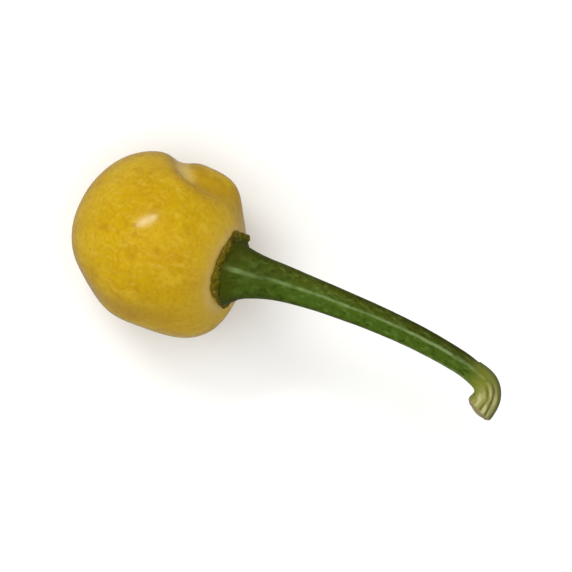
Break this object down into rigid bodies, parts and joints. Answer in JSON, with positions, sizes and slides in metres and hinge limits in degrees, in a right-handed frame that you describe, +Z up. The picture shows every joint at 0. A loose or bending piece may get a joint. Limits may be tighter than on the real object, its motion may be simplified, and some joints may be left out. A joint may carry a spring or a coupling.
{
  "type": "wiri wiri pepper",
  "caption": "Small round yellow pepper lying on its side, with a shallow-lobed glossy fruit, a dark green toothed calyx and a ribbed, hooked green pedicel.",
  "frame": {"origin": "on the surface that the pepper lies on, under the middle of its bounding box", "axes": "+X towards the stem end, along the whole pepper; +Z up, away from the surface it lies on"},
  "size_m": [0.0446, 0.017, 0.0172],
  "materials": {
    "fruit_skin": null,
    "calyx_green": null,
    "stalk_green": null
  },
  "bodies": {
    "root": {"fruit": "fruit_skin", "calyx": "calyx_green", "pedicel": "stalk_green"}
  },
  "joints": []
}
